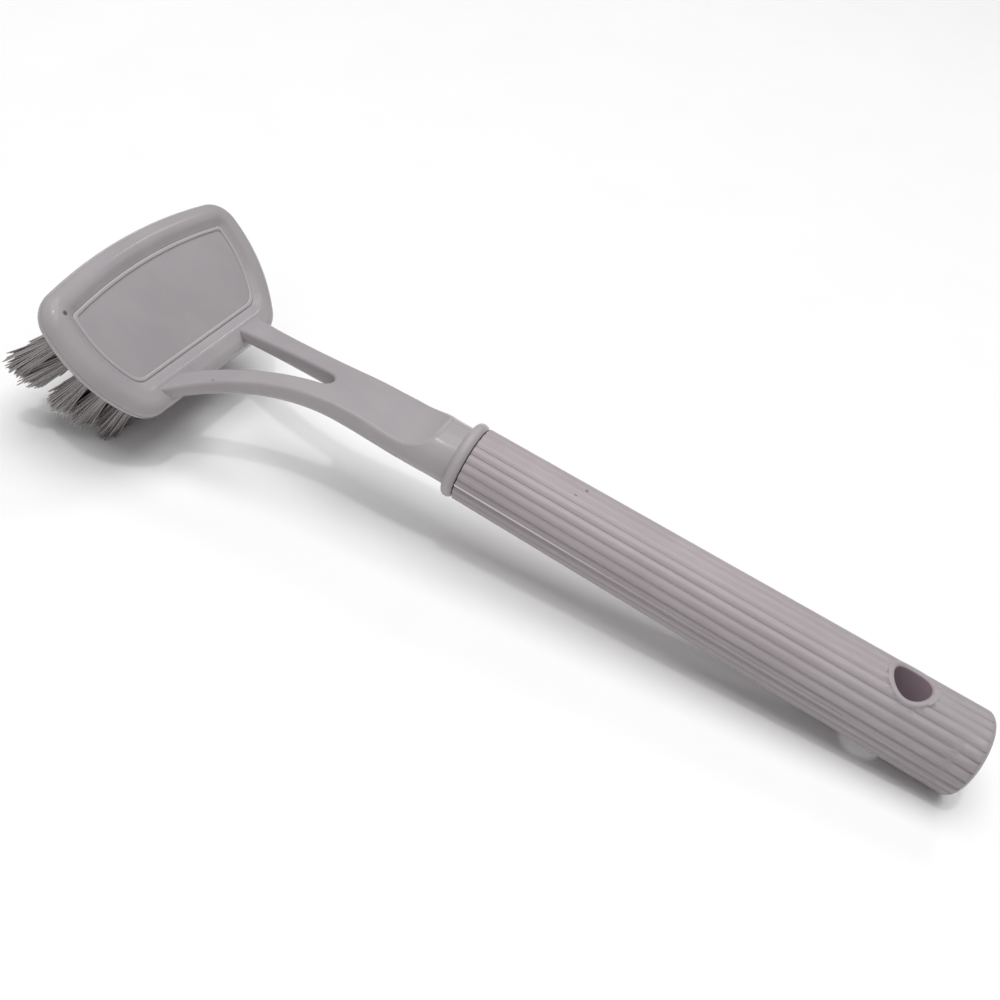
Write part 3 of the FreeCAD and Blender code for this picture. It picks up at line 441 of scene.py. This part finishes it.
def sleeve_plastic():
    """Matte, slightly pinker plastic of the ribbed sleeve, with painted shade in the valleys and on its lower
    side, painted light on the valley floors, a painted highlight on the parting line, and rubbed on the ribs.
    """
    finish = new_finish("sleeve_plastic_matte")
    where = object_place(finish)
    parts, radius = along_handle(finish, where)
    along = remap(finish, parts["X"], (0.0, SLEEVE_LENGTH), kind="LINEAR")
    crest = remap(finish, along, UNIT, SLEEVE_RADII, kind="LINEAR")
    relief = remap(finish, along, UNIT, RIB_HEIGHTS, kind="LINEAR")
    depth = reckon(finish, "DIVIDE", reckon(finish, "SUBTRACT", crest, radius), relief)
    depth = remap(finish, depth, UNIT, kind="LINEAR")
    upper = remap(finish, reckon(finish, "DIVIDE", parts["Z"], crest), UPPER_SIDE_SPAN)
    rubbed = remap(finish, depth, RUBBED_DEPTH_SPAN, FALLING)
    cloud = noise(finish, where, **SLEEVE_CLOUD)
    grain = noise(finish, where, **SLEEVE_GRAIN)
    streaks = drawn_noise(finish, where, STREAK_STRETCH, turn=(0, -pitch, 0))
    smudge = noise(finish, where, **SLEEVE_SMUDGE)
    dirt = reckon(finish, "MAXIMUM", *[spot(finish, where, **speck) for speck in SLEEVE_SPECKS])

    shade = remap(finish, upper, UNIT, VALLEY_PAINTED_SHADE_SHARES, kind="LINEAR")
    valley_painted_shade = times(finish, remap(finish, depth, VALLEY_PAINTED_SHADE_SPAN), shade)
    valley_floor_light_share = remap(finish, upper, VALLEY_FLOOR_LIGHT_UPPER_SPAN, VALLEY_FLOOR_PAINTED_LIGHT_SHARES)
    valley_floor_painted_light = times(finish, valley_floor_light_share, remap(finish, depth, VALLEY_FLOOR_LIGHT_DEPTH_SPAN))
    patches = times(finish, rubbed, remap(finish, smudge, RUBBED_PATCH_SPAN))
    lower_painted_shade = remap(finish, upper, UNIT, LOWER_SIDE_PAINTED_SHADE_SHARES, kind="LINEAR")
    tone = blend(finish, remap(finish, cloud, NOISE_SPAN), *SLEEVE_TONES)
    tone = coat(finish, tone, SLEEVE_END_TONE, remap(finish, along, SLEEVE_END_SPAN), SLEEVE_END_SHARE)
    # Painted shade on the sleeve's lower side
    tone = coat(finish, tone, LOWER_SIDE_PAINTED_SHADE_TONE, lower_painted_shade)
    tone = coat(finish, tone, STREAK_TONE, remap(finish, streaks, STREAK_SPAN), STREAK_SHARE)
    # Painted shade in the rib valleys
    tone = coat(finish, tone, VALLEY_PAINTED_SHADE_TONE, valley_painted_shade)
    # Painted light on the valley floors
    tone = coat(finish, tone, VALLEY_FLOOR_PAINTED_LIGHT_TONE, valley_floor_painted_light)
    tone = coat(finish, tone, RUBBED_TONE, patches, RUBBED_SHARE)
    # Painted highlight along the parting line
    tone = coat(finish, tone, PARTING_PAINTED_HIGHLIGHT_TONE, parting_line_highlight(finish, parts["Z"], along, rubbed))
    tone = coat(finish, tone, HOLE_WALL_TONE, hole_wall(finish, parts))
    tone = coat(finish, tone, SLEEVE_DIRT_TONE, dirt, SLEEVE_DIRT_SHARE)

    dull = remap(finish, smudge, NOISE_SPAN, SLEEVE_ROUGHNESS)
    dull = reckon(finish, "SUBTRACT", dull, times(finish, rubbed, RUBBED_POLISH))
    fill = remap(finish, upper, UNIT, VALLEY_FILL_SHARES, kind="LINEAR")
    fill = times(finish, fill, times(finish, depth, depth))
    surface = raised(finish, times(finish, fill, relief), **VALLEY_FILL_BUMP)
    surface = raised(finish, streaks, below=surface, **STREAK_BUMP)
    surface = raised(finish, grain, below=surface, **SLEEVE_GRAIN_BUMP)
    cover(finish, {"Base Color": tone, "Roughness": dull, "Normal": surface})
    cover(finish, {"Specular IOR Level": SLEEVE_SPECULAR})
    return finish


# Bristle nylon, along each filament from its root to its tip
NYLON_TONES = ((0.32, 0.29, 0.292, 1), (0.46, 0.43, 0.433, 1))
NYLON_FLECK = {"scale": 900.0, "detail": 2.0}
NYLON_FLECK_SPAN = (0.4, 0.7)
NYLON_FLECK_TONE = (0.30, 0.27, 0.255, 1)
NYLON_FLECK_SHARE = 0.25
NYLON_FLECK_BUMP = {"strength": 0.08, "distance": 0.00003}
# Painted shade: the filaments darken towards their roots, under the head
NYLON_ROOT_SHADE_SPAN = (0.0, 0.35)
NYLON_ROOT_PAINTED_SHADE_TONE = (0.13, 0.10, 0.09, 1)
NYLON_ROOT_PAINTED_SHADE_SHARE = 0.35
NYLON_TIP_SPAN = (0.93, 1.0)
NYLON_TIP_TONE = (0.50, 0.48, 0.475, 1)
NYLON_TIP_SHARE = 0.35
NYLON_ROUGHNESS = (0.42, 0.60)
NYLON_SPECULAR = 0.5


def bristle_nylon():
    """Grey nylon filaments, each a little unlike the next, with painted shade towards the root and frayed
    pale at the tip.
    """
    finish = new_finish("bristle_nylon")
    own_tone = add(finish, "Attribute", {}, attribute_name="tone").outputs["Fac"]
    along = add(finish, "Attribute", {}, attribute_name="along").outputs["Fac"]
    fleck = noise(finish, object_place(finish), **NYLON_FLECK)
    root = remap(finish, along, NYLON_ROOT_SHADE_SPAN, FALLING)
    tip = remap(finish, along, NYLON_TIP_SPAN)
    tone = blend(finish, own_tone, *NYLON_TONES)
    tone = coat(finish, tone, NYLON_FLECK_TONE, remap(finish, fleck, NYLON_FLECK_SPAN), NYLON_FLECK_SHARE)
    # Painted shade towards the roots
    tone = coat(finish, tone, NYLON_ROOT_PAINTED_SHADE_TONE, root, NYLON_ROOT_PAINTED_SHADE_SHARE)
    tone = coat(finish, tone, NYLON_TIP_TONE, tip, NYLON_TIP_SHARE)
    dull = remap(finish, fleck, NOISE_SPAN, NYLON_ROUGHNESS)
    cover(finish, {"Base Color": tone, "Roughness": dull})
    cover(finish, {"Normal": raised(finish, fleck, **NYLON_FLECK_BUMP), "Specular IOR Level": NYLON_SPECULAR})
    return finish


# Metal of the tuft anchors
ANCHOR_STRETCH = (4000.0, 250.0, 4000.0)
ANCHOR_TONES = ((0.52, 0.50, 0.47, 1), (0.68, 0.67, 0.64, 1))
ANCHOR_ROUGHNESS = (0.22, 0.38)
ANCHOR_BUMP = {"strength": 0.15, "distance": 0.00003}
ANCHOR_METALLIC = 1.0


def anchor_metal():
    """Bright drawn flat wire of the tuft anchors."""
    finish = new_finish("anchor_drawn_metal")
    drawn = drawn_noise(finish, object_place(finish), ANCHOR_STRETCH)
    tone = blend(finish, drawn, *ANCHOR_TONES)
    dull = remap(finish, drawn, NOISE_SPAN, ANCHOR_ROUGHNESS)
    surface = raised(finish, drawn, **ANCHOR_BUMP)
    cover(finish, {"Base Color": tone, "Roughness": dull, "Normal": surface, "Metallic": ANCHOR_METALLIC})
    return finish


# Paper of the floor
PAPER_TONES = ((0.965, 0.965, 0.965, 1), (0.985, 0.985, 0.985, 1))
PAPER_MOTTLE = {"scale": 30.0, "detail": 4.0}
PAPER_ROUGHNESS = (0.75, 0.9)
PAPER_SPECULAR = 0.1


def floor_paper():
    """Pale paper with a faint mottle."""
    finish = new_finish("floor_paper")
    mottle = noise(finish, object_place(finish), **PAPER_MOTTLE)
    tone = blend(finish, mottle, *PAPER_TONES)
    dull = remap(finish, mottle, NOISE_SPAN, PAPER_ROUGHNESS)
    cover(finish, {"Base Color": tone, "Roughness": dull, "Specular IOR Level": PAPER_SPECULAR})
    return finish


# Frame, sleeve and anchors

def dress(name, finish):
    """Gives a piece its finish, with its mesh as it is."""
    materials = nodes[name].data.materials
    for place in range(len(materials)):
        materials[place] = finish


def softened(name, finish, widest_angle):
    """A welded copy of one piece, shaded round over its shallow edges."""
    mesh = nodes[name].data.copy()
    mesh.name = name + "_soft"
    copy = bpy.data.objects.new(mesh.name, mesh)
    bpy.context.scene.collection.objects.link(copy)
    bpy.ops.object.select_all(action="DESELECT")
    copy.select_set(True)
    bpy.context.view_layer.objects.active = copy
    bpy.ops.mesh.customdata_custom_splitnormals_clear()
    bpy.ops.object.mode_set(mode="EDIT")
    bpy.ops.mesh.select_all(action="SELECT")
    bpy.ops.mesh.remove_doubles(threshold=WELD_GAP)
    bpy.ops.object.mode_set(mode="OBJECT")
    bpy.ops.object.shade_smooth_by_angle(angle=widest_angle)
    mesh.materials.clear()
    mesh.materials.append(finish)
    mesh.polygons.foreach_set("material_index", [0] * len(mesh.polygons))
    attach(copy, "root")
    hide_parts(name)
    bpy.ops.object.select_all(action="DESELECT")


# Bristles

def model_filament():
    """One upright filament of unit radius and length, cut into rings and narrowed at the tip."""
    bpy.ops.mesh.primitive_cylinder_add(
        vertices=FILAMENT_SIDES, radius=1, depth=1, end_fill_type="NGON", location=(0, 0, 1 / 2))
    filament = bpy.context.object
    bpy.ops.object.transform_apply(location=True, rotation=False, scale=False)
    bpy.ops.object.mode_set(mode="EDIT")
    for share in FILAMENT_CUT_SHARES:
        bpy.ops.mesh.select_all(action="SELECT")
        bpy.ops.mesh.bisect(plane_co=(0, 0, share), plane_no=(0, 0, 1))
    bpy.ops.mesh.select_all(action="DESELECT")
    bpy.ops.object.mode_set(mode="OBJECT")
    for corner in filament.data.vertices:
        corner.select = corner.co.z > (1 + FILAMENT_CUT_SHARES[-1]) / 2
    bpy.ops.object.mode_set(mode="EDIT")
    bpy.ops.mesh.select_mode(type="VERT")
    bpy.ops.transform.resize(value=(TIP_RADIUS_SHARE, TIP_RADIUS_SHARE, 1))
    bpy.ops.object.mode_set(mode="OBJECT")
    shape = np.array([corner.co for corner in filament.data.vertices])
    faces = [list(face.vertices) for face in filament.data.polygons]
    bpy.data.objects.remove(filament, do_unlink=True)
    return shape, faces


def tuft_ends(name):
    """Middle of the tuft's root, at the bottom of its socket, and of its tip, in the head's frame."""
    places = np.array([head_inverse @ corner.co for corner in nodes[name].data.vertices])
    root = places[places[:, 2] > places[:, 2].max() - ROOT_SLICE].mean(axis=0)
    way = places.mean(axis=0) - root
    for _ in range(TIP_SEARCHES):
        reach = (places - root) @ (way / np.linalg.norm(way))
        tip = places[reach > reach.max() - TIP_SLICE].mean(axis=0)
        way = tip - root
    return root, tip


def row_of(name):
    """Row of a tuft, counted from 0 at the front."""
    return int(name.split("_")[1][-1]) - 1


def combed_way(name, ends, row_reach, dice):
    """Mouth of the tuft's socket, and the way from there to the tuft's combed tip."""
    root, tip = ends
    row = row_of(name)
    mouth = root - np.array((0, 0, TUFT_ROOT_DEPTH))
    drift = np.array([dice.gauss(0, TUFT_WANDER), dice.gauss(0, TUFT_WANDER), 0])
    end_share = (root[1] / row_reach) ** ENDS_COMBED_POWER
    combed_along = ROW_COMBED_ALONG[row] + ENDS_COMBED_ALONG[row] * abs(end_share)
    combed = np.array([combed_along, ENDS_COMBED_OUT[row] * end_share, 0])
    return mouth, tip + drift + combed - mouth


def bent_filament(shape, count, mouth, way, dice):
    """Corners of one filament, at its own place in the tuft's round section."""
    out = math.sqrt((count + 1 / 2) / FILAMENTS_IN_TUFT)
    angle = count * GOLDEN_ANGLE + dice.uniform(-ANGLE_WANDER, ANGLE_WANDER)
    round_place = np.array([math.cos(angle), math.sin(angle), 0]) * out
    start = mouth + round_place * ROOT_SPREAD + np.array((0, 0, FILAMENT_ROOT))
    stray = dice.random() < STRAY_SHARE
    bow = np.array([dice.gauss(0, 1), dice.gauss(0, 1), 0]) * (STRAY_BOW if stray else FILAMENT_BOW)
    end = mouth + way * (1 + dice.gauss(0, LENGTH_JITTER_SHARE)) + round_place * TIP_SPREAD
    run = end - start
    direction = Vector(run / np.linalg.norm(run))
    across = np.array(direction.orthogonal().normalized())
    beside = np.cross(direction, across)
    share = shape[:, 2:3]
    spine = start + run * share + bow * (share ** 2)
    return spine + (across * shape[:, :1] + beside * shape[:, 1:2]) * FILAMENT_RADIUS


def bristle_tuft(name, ends, row_reach, filament, finish, dice):
    """A bundle of filaments in place of one solid tuft, combed by use."""
    shape, faces = filament
    mouth, way = combed_way(name, ends, row_reach, dice)
    corners, tones, all_faces = [], [], []
    for count in range(FILAMENTS_IN_TUFT):
        corners.append(bent_filament(shape, count, mouth, way, dice))
        tone_range = PALE_TONE_RANGE if dice.random() < PALE_SHARE else GREY_TONE_RANGE
        tones.append(np.full(len(shape), dice.uniform(*tone_range)))
        all_faces += [[corner + count * len(shape) for corner in face] for face in faces]
    places = np.concatenate(corners)
    places = places @ np.array(head_frame.to_3x3()).T + np.array(head_frame.translation)
    places[:, 2] = np.maximum(places[:, 2], FLOOR_CLEARANCE)
    shares = np.tile(shape[:, 2], FILAMENTS_IN_TUFT)
    mesh = bpy.data.meshes.new(name.replace("tuft", "bristles"))
    mesh.from_pydata(places.tolist(), [], all_faces)
    mesh.attributes.new("tone", "FLOAT", "POINT").data.foreach_set("value", np.concatenate(tones))
    mesh.attributes.new("along", "FLOAT", "POINT").data.foreach_set("value", shares)
    mesh.polygons.foreach_set("use_smooth", [True] * len(mesh.polygons))
    mesh.materials.append(finish)
    tuft = bpy.data.objects.new(mesh.name, mesh)
    bpy.context.scene.collection.objects.link(tuft)
    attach(tuft, "root")
    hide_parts(name)


def bristles():
    """All tufts of the head, from one modelled filament."""
    finish = bristle_nylon()
    filament = model_filament()
    dice = random.Random(SEED)
    names = sorted(name for name in nodes if name.startswith("tuft_row"))
    ends = {name: tuft_ends(name) for name in names}
    for name in names:
        row_roots = [ends[mate][0] for mate in names if row_of(mate) == row_of(name)]
        row_reach = max(abs(root[1]) for root in row_roots)
        bristle_tuft(name, ends[name], row_reach, filament, finish, dice)


# Stage

FLOOR_SIZE = 8.0
LIGHTS = {
    "top_light": {"place": (0.0, 0.0, 2.2), "size": 2.0, "power": 37.6},
    "lamp_light": {"place": (-0.1, -0.4, 2.0), "size": 0.12, "power": 4.8},
    "far_light": {"place": (0.25, 1.2, 1.2), "size": 0.22, "power": 1.6},
    "left_light": {"place": (-1.7, 0.0, 1.3), "size": 1.2, "power": 1.5},
    "near_light": {"place": (0.0, -1.7, 1.3), "size": 1.2, "power": 1.9},
}
SURROUND_COLOUR = (1, 1, 1, 1)
SURROUND_STRENGTH = 0.23


def floor():
    bpy.ops.mesh.primitive_plane_add(size=FLOOR_SIZE)
    sweep = bpy.context.object
    sweep.name = "floor"
    sweep.data.materials.append(floor_paper())


def soft_light(name, place, size, power):
    """A square light that faces the middle of the brush."""
    bpy.ops.object.light_add(type="AREA", location=place)
    lamp = bpy.context.object
    lamp.name = name
    lamp.data.size = size
    lamp.data.energy = power
    middle = (cad_low + cad_high) / 2
    lamp.rotation_euler = (middle - lamp.location).to_track_quat("-Z", "Y").to_euler()


def surroundings():
    world = bpy.data.worlds.new("pale_room")
    world.use_nodes = True
    background = world.node_tree.nodes["Background"]
    background.inputs["Color"].default_value = SURROUND_COLOUR
    background.inputs["Strength"].default_value = SURROUND_STRENGTH
    bpy.context.scene.world = world
    bpy.context.scene.view_settings.view_transform = "Standard"


def photo_camera():
    bpy.ops.object.camera_add()
    camera = bpy.context.object
    camera.data.lens = CAMERA_LENS
    camera.data.clip_start = CAMERA_NEAREST
    camera.matrix_world = handle_frame @ Matrix.LocRotScale(CAMERA_PLACE, Euler(CAMERA_TURN), None)
    bpy.context.scene.camera = camera


dress("head_and_neck", frame_plastic())
softened("handle_sleeve", sleeve_plastic(), RIB_SOFT_ANGLE)
dress("tuft_anchors", anchor_metal())
bristles()
floor()
for light_name, light in LIGHTS.items():
    soft_light(light_name, **light)
surroundings()
photo_camera()
